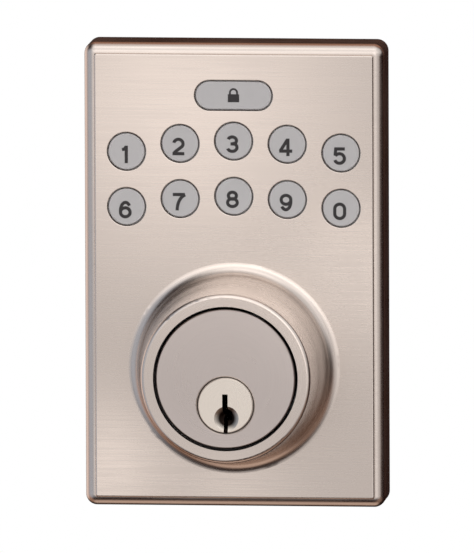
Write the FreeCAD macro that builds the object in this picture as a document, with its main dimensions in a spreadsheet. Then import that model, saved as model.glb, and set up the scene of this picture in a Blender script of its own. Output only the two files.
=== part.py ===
"""Outside half of a keypad deadbolt lock, as a parametric FreeCAD document.

Frame, in millimetres: the origin is the centre of the door's cross bore on the outside face of the door.
+Z is up, and the lock's front faces -Y. A "standoff" is a distance in front of the door, so y = -standoff.
"""

import math
import os
import re

import FreeCAD, Part
import Sketcher

doc = FreeCAD.newDocument("keypad_lock")
sheet = doc.addObject("Spreadsheet::Sheet", "dims")

DIMENSIONS = {
    # case: a die casting with a rounded rim, a raised panel and a round boss
    "case_width": 79.5,
    "case_height": 123.0,
    "case_rise": 31.5,
    "case_corner": 3.0,
    "case_back": 0.5,
    "rim_front": 14.3,
    "rim_round": 2.6,
    "panel_root": 13.6,
    "panel_inset": 2.5,
    "panel_drop": 0.4,
    "panel_front": 15.0,
    "panel_corner": 0.9,
    "panel_bevel_angle": -15.0,
    "panel_edge_round": 0.45,
    "side_wall": 2.2,
    "panel_inside": 13.0,
    "hole_edge_round": 0.18,
    "join_overlap": 0.2,
    "cut_margin": 1.0,
    # boss round the key cylinder
    "boss_rise": 7.0,
    "boss_front": 39.0,
    "boss_foot_radius": 25.4,
    "boss_waist_radius": 23.7,
    "boss_waist": 24.0,
    "boss_lip_radius": 22.4,
    "boss_foot_round": 3.2,
    "boss_waist_round": 30.0,
    "boss_lip_round": 1.0,
    "boss_mouth_radius": 19.15,
    "boss_mouth_depth": 3.5,
    "boss_throat_radius": 20.2,
    "boss_root_radius": 21.8,
    "boss_root": 20.0,
    # keys: two arched rows of five round keys and one oval key above them
    "key_pitch": 14.2,
    "key_row_high": 67.2,
    "key_row_low": 52.55,
    "key_arch_radius": 138.6,
    "key_hole_radius": 5.15,
    "key_radius": 4.8,
    "key_crown": 14.7,
    "key_edge_round": 0.28,
    "key_flange_side": 11.6,
    "key_flange_corner": 2.0,
    "key_flange_front": 12.95,
    "key_flange_back": 12.05,
    "oval_rise": 79.3,
    "oval_length": 20.8,
    "oval_height": 8.1,
    "oval_gap": 0.35,
    "oval_flange": 1.0,
    # light guide, silicone mat and circuit board behind the keys
    "guide_back": 8.2,
    "guide_step": 10.85,
    "guide_gap": 0.2,
    "guide_boot_radius": 5.45,
    "guide_half_width": 36.6,
    "guide_bottom": 36.0,
    "guide_top": 83.2,
    "guide_tab_top": 87.0,
    "guide_tab_half_width": 15.0,
    "boot_foot_radius": 5.2,
    "boot_taper": -14.0,
    "boot_hollow_radius": 3.55,
    "boot_top": 12.02,
    "boot_roof": 1.0,
    "boot_plunger_radius": 1.9,
    "boot_plunger_gap": 1.1,
    "oval_boot_margin": 1.0,
    "oval_hollow_margin": 4.4,
    "oval_plunger_radius": 1.4,
    "mat_margin": 0.4,
    "board_front": 7.0,
    "board_back": 5.4,
    "board_half_width": 36.2,
    "board_corner": 1.5,
    "led_across": 7.1,
    "led_rise": 59.6,
    "led_drop": 1.7,
    "led_length": 2.0,
    "led_height": 1.25,
    "led_thick": 0.8,
    "led_window": 0.5,
    "led_oval_across": 13.2,
    "chip_thick": 1.0,
    "buzzer_across": 20.0,
    "buzzer_rise": 54.0,
    "buzzer_radius": 5.0,
    "buzzer_thick": 2.0,
    "buzzer_hole_radius": 0.8,
    "buzzer_hole_depth": 1.4,
    "header_rise": 40.0,
    "header_length": 14.0,
    "header_height": 6.0,
    "header_thick": 2.2,
    "header_wall": 0.45,
    "header_end_wall": 0.8,
    "header_mouth_depth": 4.6,
    "header_pin_pitch": 2.0,
    "header_pin_length": 4.4,
    "header_pin_thick": 0.5,
    # screws and their posts
    "corner_screw_across": 34.4,
    "corner_screw_high": 87.7,
    "corner_screw_low": -24.7,
    "corner_post_radius": 3.4,
    "board_screw_across": 31.0,
    "board_screw_high": 75.5,
    "board_screw_low": 39.6,
    "board_post_radius": 2.3,
    "screw_pilot_radius": 1.3,
    "screw_core_radius": 1.24,
    "screw_hole_radius": 1.65,
    "screw_head_radius": 2.7,
    "screw_head_thick": 1.2,
    "screw_length": 8.0,
    "recess_reach": 0.5,
    "recess_width": 0.14,
    "recess_depth": 0.6,
    "head_round": 0.45,
    "small_pilot_radius": 1.05,
    "small_core_radius": 1.0,
    "small_hole_radius": 1.3,
    "small_head_radius": 2.1,
    "small_head_thick": 1.3,
    "small_screw_length": 5.5,
    "small_pilot_depth": 5.0,
    "post_gap": 0.3,
    # back plate and gasket
    "plate_front": 3.0,
    "plate_back": 1.5,
    "plate_gap": 0.2,
    "plate_corner": 1.5,
    "bore_opening_radius": 24.5,
    "outlet_rise": 18.3,
    "outlet_length": 14.4,
    "outlet_height": 8.4,
    "grommet_lip": 1.2,
    "grommet_lip_thick": 0.8,
    "grommet_wall": 1.2,
    "grommet_fit": 0.1,
    # key cylinder: the plug turns on the axis of the cross bore
    "cylinder_disc_radius": 18.45,
    "cylinder_disc_back": 34.0,
    "cylinder_back": 10.65,
    "cylinder_chamfer": 0.35,
    "barrel_radius": 8.6,
    "tower_half_width": 4.5,
    "tower_top": 21.5,
    "leg_across": 12.5,
    "leg_rise": 13.0,
    "leg_radius": 3.2,
    "leg_screw_depth": 9.0,
    "plug_radius": 6.35,
    "plug_bore_radius": 6.4,
    "plug_face_radius": 7.4,
    "plug_seat_radius": 7.5,
    "plug_seat": 37.0,
    "plug_face_back": 37.05,
    "plug_chamfer": 0.35,
    "plug_neck_radius": 5.3,
    "plug_neck_back": 9.6,
    "plug_back": 8.2,
    "clip_inner_radius": 5.4,
    "clip_outer_radius": 8.2,
    "clip_front": 10.58,
    "clip_back": 9.68,
    "clip_mouth": 8.0,
    "clip_mouth_top": -1.5,
    "keyway_depth": 27.0,
    "keyway_recess_radius": 3.25,
    "keyway_recess_across": 0.24,
    "keyway_recess_drop": -3.5,
    "keyway_recess_depth": 1.3,
    "keyway_recess_rim": 0.3,
    "keyway_recess_floor": 1.1,
    "pin_first": 32.0,
    "pin_pitch": 3.8,
    "pin_bore_radius": 1.5,
    "pin_radius": 1.44,
    "pin_chamber_floor": -1.2,
    "pin_tip_length": 0.9,
    "pin_tip_ratio": 0.45,
    "key_pin_top": 6.1,
    "driver_pin_bottom": 6.5,
    "driver_pin_length": 5.0,
    "spring_wire": 0.3,
    "spring_radius": 1.1,
    "spring_turns": 7.0,
    "spring_clearance": 0.02,
    "cover_thick": 1.0,
    "cover_gap": 0.2,
    "blade_flange_radius": 6.0,
    "blade_flange_back": 7.0,
    "blade_width": 6.4,
    "blade_thick": 3.8,
    "blade_end": -52.0,
    "blade_hole_radius": 7.2,
    "tail_screw_across": 4.6,
    "tail_screw_radius": 0.8,
    "tail_screw_fit": 0.05,
    "tail_screw_length": 2.2,
    "tail_hole_depth": 1.2,
    "tail_head_radius": 1.35,
    "tail_head_thick": 0.8,
    "sleeve_outer_radius": 19.9,
    "sleeve_inner_radius": 19.0,
    "sleeve_back": 4.4,
    "sleeve_front": 35.4,
    "sleeve_notch_half_width": 7.5,
    "sleeve_notch_front": 10.5,
    # threaded posts that take the screws from the inside half of the lock
    "post_across": 15.9,
    "post_radius": 3.9,
    "post_fit": 0.05,
    "post_flange_radius": 5.2,
    "post_flange_front": 4.2,
    "post_end": -14.0,
    "post_thread_radius": 2.1,
}

for row, (word, size) in enumerate(DIMENSIONS.items(), start=1):
    sheet.set(f"A{row}", word)
    sheet.set(f"B{row}", str(size))
    sheet.setAlias(f"B{row}", word)
doc.recompute()

ORIGIN = (-1, 1)
QUARTER_TURN = math.pi / 2
SUB_PARTS = []


# ---------------------------------------------------------------- helpers


def dim(words):
    """The expression words with each alias written the way other objects read the sheet."""
    return re.sub(r"[a-z]\w*", lambda word: f"dims.{word[0]}" if word[0] in DIMENSIONS else word[0], words)


def number(words):
    """What an expression is worth now."""
    return float(sheet.evalExpression(dim(words)))


def keep(piece, label):
    """Notes a finished sub-part under the name of its file."""
    piece.Label = label
    SUB_PARTS.append(piece)
    return piece


def new_body(label, several_solids=False):
    body = keep(doc.addObject("PartDesign::Body", f"{label}_body"), label)
    body.AllowCompound = several_solids
    return body


def new_sketch(body, plane, standoff="0", rise="0"):
    """A sketch on one of the body's own planes.

    XZ: faces the front, moved out by the standoff. XY: moved up by the standoff. YZ: moved right by the
    standoff; its x runs backwards and its y runs up from the rise, so a profile is drawn in (y, radius).
    """
    sketch = body.newObject("Sketcher::SketchObject", f"{body.Label}_sketch")
    origin_plane = [o for o in body.Origin.OriginFeatures if o.Role == f"{plane}_Plane"][0]
    sketch.AttachmentSupport = [(origin_plane, "")]
    sketch.MapMode = "FlatFace"
    sketch.setExpression("AttachmentOffset.Base.z", dim(standoff))
    sketch.setExpression("AttachmentOffset.Base.y", dim(rise))
    return sketch


def hold(sketch, kind, *rest):
    """Adds a dimension whose value is the expression in the last place."""
    words = rest[-1]
    index = sketch.addConstraint(Sketcher.Constraint(kind, *rest[:-1], number(words)))
    sketch.setExpression(f"Constraints[{index}]", dim(words))


def add_circle(sketch, across, up, radius):
    centre = FreeCAD.Vector(number(across), number(up), 0)
    circle = sketch.addGeometry(Part.Circle(centre, FreeCAD.Vector(0, 0, 1), number(radius)))
    hold(sketch, "DistanceX", *ORIGIN, circle, 3, across)
    hold(sketch, "DistanceY", *ORIGIN, circle, 3, up)
    hold(sketch, "Radius", circle, radius)


def add_polygon(sketch, corners):
    """A closed outline through corners given as (across, up) expressions."""
    points = [FreeCAD.Vector(number(x), number(y), 0) for x, y in corners]
    lines = []
    for start, end in zip(points, points[1:] + points[:1]):
        lines.append(sketch.addGeometry(Part.LineSegment(start, end)))
    for line, following in zip(lines, lines[1:] + lines[:1]):
        sketch.addConstraint(Sketcher.Constraint("Coincident", line, 2, following, 1))
    for line, (across, up) in zip(lines, corners):
        hold(sketch, "DistanceX", *ORIGIN, line, 1, across)
        hold(sketch, "DistanceY", *ORIGIN, line, 1, up)


def add_box(sketch, left, right, bottom, top):
    add_polygon(sketch, [(left, bottom), (right, bottom), (right, top), (left, top)])


def add_rounded_box(sketch, left, right, bottom, top, corner):
    """A rectangle with four equal round corners."""
    x0, x1, y0, y1, r = (number(words) for words in (left, right, bottom, top, corner))
    ends = [
        ((x0 + r, y0), (x1 - r, y0)),
        ((x1, y0 + r), (x1, y1 - r)),
        ((x1 - r, y1), (x0 + r, y1)),
        ((x0, y1 - r), (x0, y0 + r)),
    ]
    centres = [(x1 - r, y0 + r), (x1 - r, y1 - r), (x0 + r, y1 - r), (x0 + r, y0 + r)]
    sides, arcs = [], []
    for turn, (start, end) in enumerate(ends):
        side = Part.LineSegment(FreeCAD.Vector(*start, 0), FreeCAD.Vector(*end, 0))
        sides.append(sketch.addGeometry(side))
        ring = Part.Circle(FreeCAD.Vector(*centres[turn], 0), FreeCAD.Vector(0, 0, 1), r)
        arc = Part.ArcOfCircle(ring, (turn - 1) * QUARTER_TURN, turn * QUARTER_TURN)
        arcs.append(sketch.addGeometry(arc))
    for turn in range(4):
        following = sides[(turn + 1) % 4]
        sketch.addConstraint(Sketcher.Constraint("Tangent", sides[turn], 2, arcs[turn], 1))
        sketch.addConstraint(Sketcher.Constraint("Tangent", arcs[turn], 2, following, 1))
        direction = "Vertical" if turn % 2 else "Horizontal"
        sketch.addConstraint(Sketcher.Constraint(direction, sides[turn]))
    for arc in arcs[1:]:
        sketch.addConstraint(Sketcher.Constraint("Equal", arcs[0], arc))
    hold(sketch, "Radius", arcs[0], corner)
    hold(sketch, "DistanceY", *ORIGIN, sides[0], 1, bottom)
    hold(sketch, "DistanceX", *ORIGIN, sides[1], 1, right)
    hold(sketch, "DistanceY", *ORIGIN, sides[2], 1, top)
    hold(sketch, "DistanceX", *ORIGIN, sides[3], 1, left)


def add_oval(sketch, up, length, height):
    """A level stadium, centred on the middle plane."""
    z, radius = number(up), number(height) / 2
    reach = number(length) / 2 - radius
    up_axis = FreeCAD.Vector(0, 0, 1)
    right = Part.Circle(FreeCAD.Vector(reach, z, 0), up_axis, radius)
    left = Part.Circle(FreeCAD.Vector(-reach, z, 0), up_axis, radius)
    right_end = sketch.addGeometry(Part.ArcOfCircle(right, -QUARTER_TURN, QUARTER_TURN))
    top_left, top_right = FreeCAD.Vector(-reach, z + radius, 0), FreeCAD.Vector(reach, z + radius, 0)
    top = sketch.addGeometry(Part.LineSegment(top_right, top_left))
    left_end = sketch.addGeometry(Part.ArcOfCircle(left, QUARTER_TURN, 3 * QUARTER_TURN))
    low_left, low_right = FreeCAD.Vector(-reach, z - radius, 0), FreeCAD.Vector(reach, z - radius, 0)
    bottom = sketch.addGeometry(Part.LineSegment(low_left, low_right))
    loop = [right_end, top, left_end, bottom]
    for piece, following in zip(loop, loop[1:] + loop[:1]):
        sketch.addConstraint(Sketcher.Constraint("Tangent", piece, 2, following, 1))
    hold(sketch, "Radius", right_end, f"({height}) / 2")
    hold(sketch, "DistanceX", *ORIGIN, right_end, 3, f"(({length}) - ({height})) / 2")
    hold(sketch, "DistanceX", *ORIGIN, left_end, 3, f"(({height}) - ({length})) / 2")
    hold(sketch, "DistanceY", *ORIGIN, right_end, 3, up)
    hold(sketch, "DistanceY", *ORIGIN, left_end, 3, up)


def pad(body, sketch, length, taper=None):
    """Adds material from the sketch towards the side that it faces."""
    feature = body.newObject("PartDesign::Pad", f"{body.Label}_pad")
    feature.Profile = sketch
    feature.setExpression("Length", dim(length))
    if taper:
        feature.setExpression("TaperAngle", dim(taper))
    doc.recompute()
    return feature


def cut(body, sketch, depth, forwards=False):
    """Removes material behind the sketch, or in front of it, and makes sure that some went."""
    before = body.Shape.Volume
    feature = body.newObject("PartDesign::Pocket", f"{body.Label}_pocket")
    feature.Profile = sketch
    feature.Reversed = forwards
    feature.setExpression("Length", dim(depth))
    doc.recompute()
    if body.Shape.Volume >= before - 1e-6:
        raise RuntimeError(f"a pocket in {body.Label} cut nothing")
    return feature


def turn(body, sketch, remove=False):
    """Turns a profile all the way round the sketch's own x axis."""
    kind = "Groove" if remove else "Revolution"
    before = body.Shape.Volume if remove else 0
    feature = body.newObject(f"PartDesign::{kind}", f"{body.Label}_{kind.lower()}")
    feature.Profile = sketch
    feature.ReferenceAxis = (sketch, ["H_Axis"])
    feature.Angle = 360
    doc.recompute()
    if remove and body.Shape.Volume >= before - 1e-6:
        raise RuntimeError(f"a groove in {body.Label} cut nothing")
    return feature


def edges_at(body, standoff, radius=None):
    """Names of the edges that lie flat at a standoff, or only the round ones of a radius there."""
    level = -number(standoff)
    names = []
    for index, edge in enumerate(body.Shape.Edges, start=1):
        box = edge.BoundBox
        if abs(box.YMin - level) > 1e-4 or abs(box.YMax - level) > 1e-4:
            continue
        if radius is None:
            names.append(f"Edge{index}")
        elif hasattr(edge.Curve, "Radius") and abs(edge.Curve.Radius - number(radius)) < 1e-4:
            names.append(f"Edge{index}")
    if not names:
        raise RuntimeError(f"{body.Label} has no such edge at {standoff}")
    return names


def soften(body, names, size, kind="Fillet"):
    """Rounds or chamfers edges."""
    base = body.Tip
    feature = body.newObject(f"PartDesign::{kind}", f"{body.Label}_{kind.lower()}")
    feature.Base = (base, names)
    feature.setExpression("Radius" if kind == "Fillet" else "Size", dim(size))
    doc.recompute()
    return feature


def key_places():
    """(digit, across, up) for each round key, left to right, high row first."""
    drop = "key_arch_radius - sqrt(key_arch_radius ^ 2 - ({0} * key_pitch) ^ 2)"
    places = []
    for digits, row in (("12345", "key_row_high"), ("67890", "key_row_low")):
        for column, digit in zip((-2, -1, 0, 1, 2), digits):
            up = f"{row} - ( {drop.format(abs(column))} )"
            places.append((digit, f"{column} * key_pitch", up))
    return places


def four_places(across, high, low):
    """The four corners of a screw pattern that is level and symmetric."""
    return [(f"{side} * {across}", up) for side in (-1, 1) for up in (high, low)]


def led_places():
    """(across, up) for each lamp on the board."""
    places = [(f"{side} * led_across", "led_rise") for side in (-1, 1)]
    places += [(f"{side} * 3 * led_across", "led_rise - led_drop") for side in (-1, 1)]
    places += [(f"{side} * led_oval_across", "oval_rise") for side in (-1, 1)]
    return places


CORNER_SCREWS = four_places("corner_screw_across", "corner_screw_high", "corner_screw_low")
BOARD_SCREWS = four_places("board_screw_across", "board_screw_high", "board_screw_low")
LEG_SCREWS = [(f"{side} * leg_across", "leg_rise") for side in (-1, 1)]
TAIL_SCREWS = [(f"{side} * tail_screw_across", "0") for side in (-1, 1)]
POSTS = [(f"{side} * post_across", "0") for side in (-1, 1)]
PIN_TIP_HEIGHTS = ("1.6", "2.2", "1.2", "1.9", "1.4")
PIN_STANDOFFS = [f"pin_first - {index} * pin_pitch" for index in range(len(PIN_TIP_HEIGHTS))]
CHIPS = [("0 - 9", "62", "7", "7"), ("9", "66", "4", "5"), ("0 - 22", "58", "3.2", "2.5")]
HEADER_PINS = ["0 - 2.5", "0 - 1.5", "0 - 0.5", "0.5", "1.5", "2.5"]
KEYWAY_OUTLINE = [
    ("0 - 0.85", "2.93"),
    ("0.6", "2.93"),
    ("0.6", "0 - 1.0"),
    ("1.75", "0 - 1.7"),
    ("1.75", "0 - 4.0"),
    ("0.6", "0 - 4.1"),
    ("0.6", "0 - plug_face_radius - cut_margin"),
    ("0 - 0.5", "0 - plug_face_radius - cut_margin"),
    ("0 - 0.5", "0 - 3.4"),
    ("0 - 0.1", "0 - 2.6"),
    ("0 - 0.85", "0 - 1.6"),
]


# ---------------------------------------------------------------- case


def case_box(sketch, inset, corner, drop="0"):
    """The case's outline, moved in all round, with its foot lowered again by the drop."""
    half_width, half_height = f"case_width / 2 - ( {inset} )", f"case_height / 2 - ( {inset} )"
    left, right = f"0 - ( {half_width} )", half_width
    foot, top = f"case_rise - ( {half_height} ) - {drop}", f"case_rise + ( {half_height} )"
    add_rounded_box(sketch, left, right, foot, top, corner)


def make_escutcheon():
    """Die-cast case: rounded rim, raised panel, hollow back, and a flared boss bored for the cylinder."""
    body = new_body("escutcheon")

    outline = new_sketch(body, "XZ", "case_back")
    case_box(outline, "0", "case_corner")
    pad(body, outline, "rim_front - case_back")
    soften(body, edges_at(body, "rim_front"), "rim_round")

    panel = new_sketch(body, "XZ", "panel_root")
    case_box(panel, "panel_inset", "panel_corner", "panel_drop")
    pad(body, panel, "panel_front - panel_root", "panel_bevel_angle")
    soften(body, edges_at(body, "panel_front"), "panel_edge_round")

    boss = new_sketch(body, "YZ", rise="boss_rise")
    add_polygon(
        boss,
        [
            ("0 - panel_inside", "0"),
            ("0 - panel_inside", "boss_foot_radius"),
            ("0 - panel_front", "boss_foot_radius"),
            ("0 - boss_waist", "boss_waist_radius"),
            ("0 - boss_front", "boss_lip_radius"),
            ("0 - boss_front", "0"),
        ],
    )
    turn(body, boss)
    soften(body, edges_at(body, "boss_waist", "boss_waist_radius"), "boss_waist_round")
    soften(body, edges_at(body, "panel_front", "boss_foot_radius"), "boss_foot_round")
    soften(body, edges_at(body, "boss_front", "boss_lip_radius"), "boss_lip_round")

    hollow = new_sketch(body, "XZ", "case_back")
    case_box(hollow, "side_wall", "plate_corner")
    cut(body, hollow, "panel_inside - case_back", forwards=True)

    throat = new_sketch(body, "YZ", rise="boss_rise")
    add_polygon(
        throat,
        [
            ("cut_margin - panel_inside", "0"),
            ("cut_margin - panel_inside", "boss_root_radius"),
            ("0 - boss_root", "boss_root_radius"),
            ("0 - boss_front + boss_mouth_depth", "boss_throat_radius"),
            ("0 - boss_front + boss_mouth_depth", "boss_mouth_radius"),
            ("0 - boss_front - cut_margin", "boss_mouth_radius"),
            ("0 - boss_front - cut_margin", "0"),
        ],
    )
    turn(body, throat, remove=True)

    windows = new_sketch(body, "XZ", "panel_inside - cut_margin")
    for _, across, up in key_places():
        add_circle(windows, across, up, "key_hole_radius")
    add_oval(windows, "oval_rise", "oval_length", "oval_height")
    cut(body, windows, "panel_front - panel_inside + 2 * cut_margin", forwards=True)
    rims = edges_at(body, "panel_front", "key_hole_radius")
    rims += edges_at(body, "panel_front", "oval_height / 2")
    soften(body, rims, "hole_edge_round")

    screw_posts = new_sketch(body, "XZ", "plate_front")
    for across, up in CORNER_SCREWS:
        add_circle(screw_posts, across, up, "corner_post_radius")
    pad(body, screw_posts, "panel_inside - plate_front + join_overlap")
    board_posts = new_sketch(body, "XZ", "board_front")
    for across, up in BOARD_SCREWS:
        add_circle(board_posts, across, up, "board_post_radius")
    pad(body, board_posts, "panel_inside - board_front + join_overlap")
    pilots = new_sketch(body, "XZ", "plate_front")
    for across, up in CORNER_SCREWS:
        add_circle(pilots, across, up, "screw_pilot_radius")
    cut(body, pilots, "screw_length", forwards=True)
    small_pilots = new_sketch(body, "XZ", "board_front")
    for across, up in BOARD_SCREWS:
        add_circle(small_pilots, across, up, "small_pilot_radius")
    cut(body, small_pilots, "small_pilot_depth", forwards=True)


# ---------------------------------------------------------------- keys and electronics


def make_round_key(digit, across, up):
    """Moulded cap with a slightly crowned top, and a square flange that keeps it in the case and upright."""
    body = new_body(f"key_{digit}")
    cap = new_sketch(body, "XZ", "key_flange_front")
    add_circle(cap, across, up, "key_radius")
    pad(body, cap, "key_crown - key_flange_front")
    soften(body, edges_at(body, "key_crown"), "key_edge_round")
    flange = new_sketch(body, "XZ", "key_flange_back")
    half = "key_flange_side / 2"
    add_rounded_box(
        flange,
        f"{across} - {half}",
        f"{across} + {half}",
        f"{up} - {half}",
        f"{up} + {half}",
        "key_flange_corner",
    )
    pad(body, flange, "key_flange_front - key_flange_back")


def make_lock_key():
    """The oval key over the number keys."""
    body = new_body("lock_key")
    cap = new_sketch(body, "XZ", "key_flange_front")
    add_oval(cap, "oval_rise", "oval_length - 2 * oval_gap", "oval_height - 2 * oval_gap")
    pad(body, cap, "key_crown - key_flange_front")
    soften(body, edges_at(body, "key_crown"), "key_edge_round")
    flange = new_sketch(body, "XZ", "key_flange_back")
    add_oval(flange, "oval_rise", "oval_length + 2 * oval_flange", "oval_height + 2 * oval_flange")
    pad(body, flange, "key_flange_front - key_flange_back")


def mat_outline(sketch, inset):
    """Outline that the light guide and the silicone mat share, with a tab for the oval key."""
    half = f"( guide_half_width - {inset} )"
    tab = f"( guide_tab_half_width - {inset} )"
    bottom, top = f"guide_bottom + {inset}", f"guide_top - {inset}"
    tab_top = f"guide_tab_top - {inset}"
    add_polygon(
        sketch,
        [
            (f"0 - {half}", bottom),
            (half, bottom),
            (half, top),
            (tab, top),
            (tab, tab_top),
            (f"0 - {tab}", tab_top),
            (f"0 - {tab}", top),
            (f"0 - {half}", top),
        ],
    )


def make_light_guide():
    """Milky frame behind the panel: it guides the keys and spreads the lamps' light under the caps."""
    body = new_body("light_guide")
    outline = new_sketch(body, "XZ", "guide_back")
    mat_outline(outline, "0")
    pad(body, outline, "panel_inside - guide_back")

    wells = new_sketch(body, "XZ", "panel_inside")
    half = "( key_flange_side / 2 + guide_gap )"
    for _, across, up in key_places():
        add_rounded_box(
            wells,
            f"{across} - {half}",
            f"{across} + {half}",
            f"{up} - {half}",
            f"{up} + {half}",
            "key_flange_corner",
        )
    grow = "2 * ( oval_flange + guide_gap )"
    add_oval(wells, "oval_rise", f"oval_length + {grow}", f"oval_height + {grow}")
    cut(body, wells, "panel_inside - guide_step")

    wells_below = new_sketch(body, "XZ", "guide_step")
    for _, across, up in key_places():
        add_circle(wells_below, across, up, "guide_boot_radius")
    add_oval(wells_below, "oval_rise", "oval_length", "oval_height")
    for across, up in BOARD_SCREWS:
        add_circle(wells_below, across, up, "board_post_radius + post_gap")
    cut(body, wells_below, "guide_step - guide_back + cut_margin")

    post_holes = new_sketch(body, "XZ", "panel_inside")
    for across, up in BOARD_SCREWS:
        add_circle(post_holes, across, up, "board_post_radius + post_gap")
    cut(body, post_holes, "panel_inside - guide_step")


def make_keypad_membrane():
    """Silicone mat: a sheet on the board with a hollow boot and a plunger under every key."""
    body = new_body("keypad_membrane")
    sheet_outline = new_sketch(body, "XZ", "board_front")
    mat_outline(sheet_outline, "mat_margin")
    pad(body, sheet_outline, "guide_back - board_front")

    boots = new_sketch(body, "XZ", "guide_back")
    for _, across, up in key_places():
        add_circle(boots, across, up, "boot_foot_radius")
    add_oval(boots, "oval_rise", "oval_length - oval_boot_margin", "oval_height - oval_boot_margin")
    pad(body, boots, "boot_top - guide_back", "boot_taper")

    hollows = new_sketch(body, "XZ", "board_front")
    for _, across, up in key_places():
        add_circle(hollows, across, up, "boot_hollow_radius")
    add_oval(hollows, "oval_rise", "oval_length - oval_hollow_margin", "oval_height - oval_hollow_margin")
    cut(body, hollows, "boot_top - board_front - boot_roof", forwards=True)

    plungers = new_sketch(body, "XZ", "board_front + boot_plunger_gap")
    for _, across, up in key_places():
        add_circle(plungers, across, up, "boot_plunger_radius")
    add_circle(plungers, "0", "oval_rise", "oval_plunger_radius")
    pad(body, plungers, "boot_top - board_front - boot_plunger_gap - join_overlap")

    openings = new_sketch(body, "XZ", "board_front")
    for across, up in BOARD_SCREWS:
        add_circle(openings, across, up, "board_post_radius + post_gap")
    for across, up in led_places():
        half_length, half_height = "( led_length / 2 + led_window )", "( led_height / 2 + led_window )"
        add_box(
            openings,
            f"{across} - {half_length}",
            f"{across} + {half_length}",
            f"{up} - {half_height}",
            f"{up} + {half_height}",
        )
    cut(body, openings, "guide_back - board_front", forwards=True)


def make_circuit_board():
    body = new_body("circuit_board")
    outline = new_sketch(body, "XZ", "board_back")
    add_rounded_box(
        outline, "0 - board_half_width", "board_half_width", "guide_bottom", "guide_top", "board_corner"
    )
    for across, up in BOARD_SCREWS:
        add_circle(outline, across, up, "small_hole_radius")
    pad(body, outline, "board_front - board_back")


def make_blocks(label, blocks, standoff, thick):
    """Small rectangular components in one node: (across, up, length, height) each."""
    body = new_body(label, several_solids=len(blocks) > 1)
    plan = new_sketch(body, "XZ", standoff)
    for across, up, length, height in blocks:
        add_box(
            plan,
            f"{across} - {length} / 2",
            f"{across} + {length} / 2",
            f"{up} - {height} / 2",
            f"{up} + {height} / 2",
        )
    pad(body, plan, thick)
    return body


def make_board_parts():
    """Lamps in front of the board; chips, sounder and cable header behind it."""
    lamps = [(across, up, "led_length", "led_height") for across, up in led_places()]
    make_blocks("backlight_leds", lamps, "board_front", "led_thick")
    make_blocks("board_chips", CHIPS, "board_back - chip_thick", "chip_thick")

    buzzer = new_body("buzzer")
    can = new_sketch(buzzer, "XZ", "board_back - buzzer_thick")
    add_circle(can, "buzzer_across", "buzzer_rise", "buzzer_radius")
    pad(buzzer, can, "buzzer_thick")
    sound_hole = new_sketch(buzzer, "XZ", "board_back - buzzer_thick")
    add_circle(sound_hole, "buzzer_across", "buzzer_rise", "buzzer_hole_radius")
    cut(buzzer, sound_hole, "buzzer_hole_depth", forwards=True)

    housing = [("0", "header_rise", "header_length", "header_height")]
    header = make_blocks("cable_header", housing, "board_back - header_thick", "header_thick")
    header_bottom = "header_rise - header_height / 2"
    mouth = new_sketch(header, "XY", header_bottom)
    add_box(
        mouth,
        "header_end_wall - header_length / 2",
        "header_length / 2 - header_end_wall",
        "header_wall - board_back",
        "header_thick - header_wall - board_back",
    )
    cut(header, mouth, "header_mouth_depth", forwards=True)
    pin_rise = f"{header_bottom} + header_mouth_depth - header_pin_length / 2"
    pins = [
        (f"( {place} ) * header_pin_pitch", pin_rise, "header_pin_thick", "header_pin_length")
        for place in HEADER_PINS
    ]
    pin_standoff = "board_back - ( header_thick + header_pin_thick ) / 2"
    make_blocks("header_pins", pins, pin_standoff, "header_pin_thick")


def make_screws(label, places, under_head, head_radius, head_thick, core_radius, length):
    """Pan-head screws driven from the back, with a cross recess; one solid each."""
    body = new_body(label, several_solids=True)
    heads = new_sketch(body, "XZ", f"{under_head} - {head_thick}")
    for across, up in places:
        add_circle(heads, across, up, head_radius)
    pad(body, heads, head_thick)
    soften(body, edges_at(body, f"{under_head} - {head_thick}"), f"{head_thick} * head_round")
    shanks = new_sketch(body, "XZ", under_head)
    for across, up in places:
        add_circle(shanks, across, up, core_radius)
    pad(body, shanks, length)
    for half_width, half_height in (("recess_reach", "recess_width"), ("recess_width", "recess_reach")):
        slots = new_sketch(body, "XZ", f"{under_head} - {head_thick}")
        for across, up in places:
            add_box(
                slots,
                f"{across} - {half_width} * {head_radius}",
                f"{across} + {half_width} * {head_radius}",
                f"{up} - {half_height} * {head_radius}",
                f"{up} + {half_height} * {head_radius}",
            )
        cut(body, slots, f"{head_thick} * recess_depth", forwards=True)


# ---------------------------------------------------------------- back plate and gasket


def make_back_plate():
    """Pressed steel plate that closes the case and carries the posts, the cylinder and the cable outlet."""
    body = new_body("back_plate")
    outline = new_sketch(body, "XZ", "plate_back")
    case_box(outline, "side_wall + plate_gap", "plate_corner")
    for across, up in CORNER_SCREWS + LEG_SCREWS:
        add_circle(outline, across, up, "screw_hole_radius")
    for across, up in POSTS:
        add_circle(outline, across, up, "post_radius + post_fit")
    add_circle(outline, "0", "0", "blade_hole_radius")
    add_oval(outline, "outlet_rise", "outlet_length", "outlet_height")
    pad(body, outline, "plate_front - plate_back")


def make_cable_grommet():
    """Rubber ring snapped into the plate, where the cable to the inside half passes."""
    body = new_body("cable_grommet")
    back = "plate_back - grommet_lip_thick"
    length = "plate_front - plate_back + 2 * grommet_lip_thick"
    tube = new_sketch(body, "XZ", back)
    add_oval(tube, "outlet_rise", "outlet_length - grommet_fit", "outlet_height - grommet_fit")
    pad(body, tube, length)
    for standoff in (back, "plate_front"):
        lip = new_sketch(body, "XZ", standoff)
        add_oval(lip, "outlet_rise", "outlet_length + 2 * grommet_lip", "outlet_height + 2 * grommet_lip")
        pad(body, lip, "grommet_lip_thick")
    passage = new_sketch(body, "XZ", back)
    add_oval(passage, "outlet_rise", "outlet_length - 2 * grommet_wall", "outlet_height - 2 * grommet_wall")
    cut(body, passage, length, forwards=True)


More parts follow.
